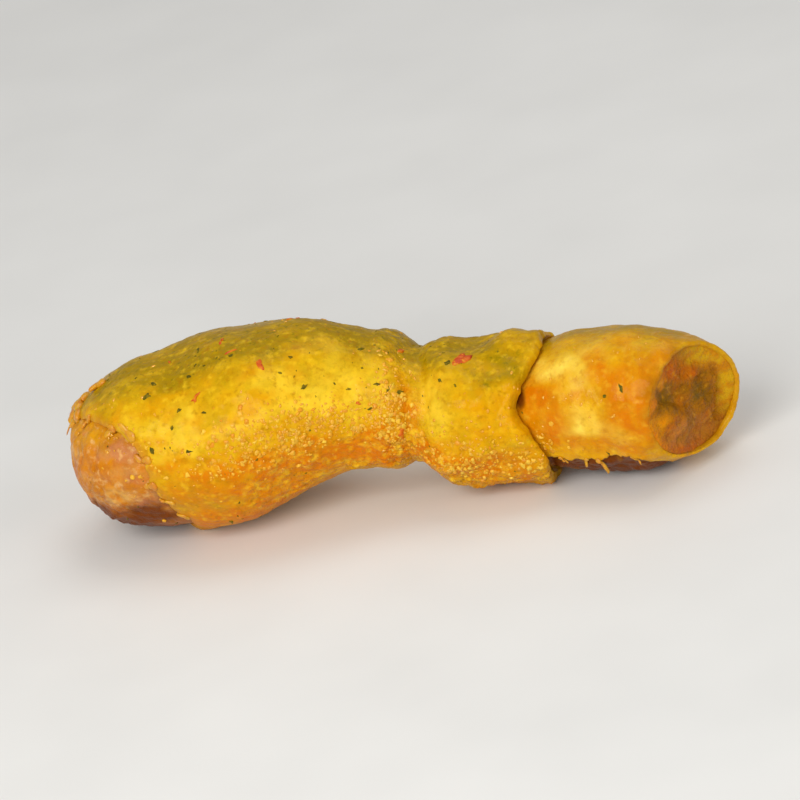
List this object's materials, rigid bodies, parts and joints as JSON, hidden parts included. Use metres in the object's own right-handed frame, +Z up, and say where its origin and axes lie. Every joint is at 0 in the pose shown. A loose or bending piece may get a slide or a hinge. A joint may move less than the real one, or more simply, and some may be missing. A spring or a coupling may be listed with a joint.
{
  "type": "raw chicken drumstick",
  "caption": "Raw marinated chicken drumstick lying on its side, with loose skin gathered behind the ankle and a cut ankle end.",
  "frame": {"origin": "middle of the bottom of the whole, on the surface that the drumstick lies on", "axes": "+X along the leg from the knee end to the ankle, +Z up, -Y the side that the cut ankle turns towards"},
  "size_m": [0.1332, 0.044, 0.0389],
  "materials": {
    "flesh": "moist raw meat with a thin yellow marinade",
    "skin": "oily raw skin in a yellow marinade with herb and chilli flakes",
    "knuckle": "oily raw skin and gristle in a yellow marinade",
    "bone": "moist brown and pink joint end"
  },
  "bodies": {
    "root": {"flesh": "flesh", "skin": "skin", "knuckle": "knuckle", "bone": "bone"}
  },
  "joints": []
}
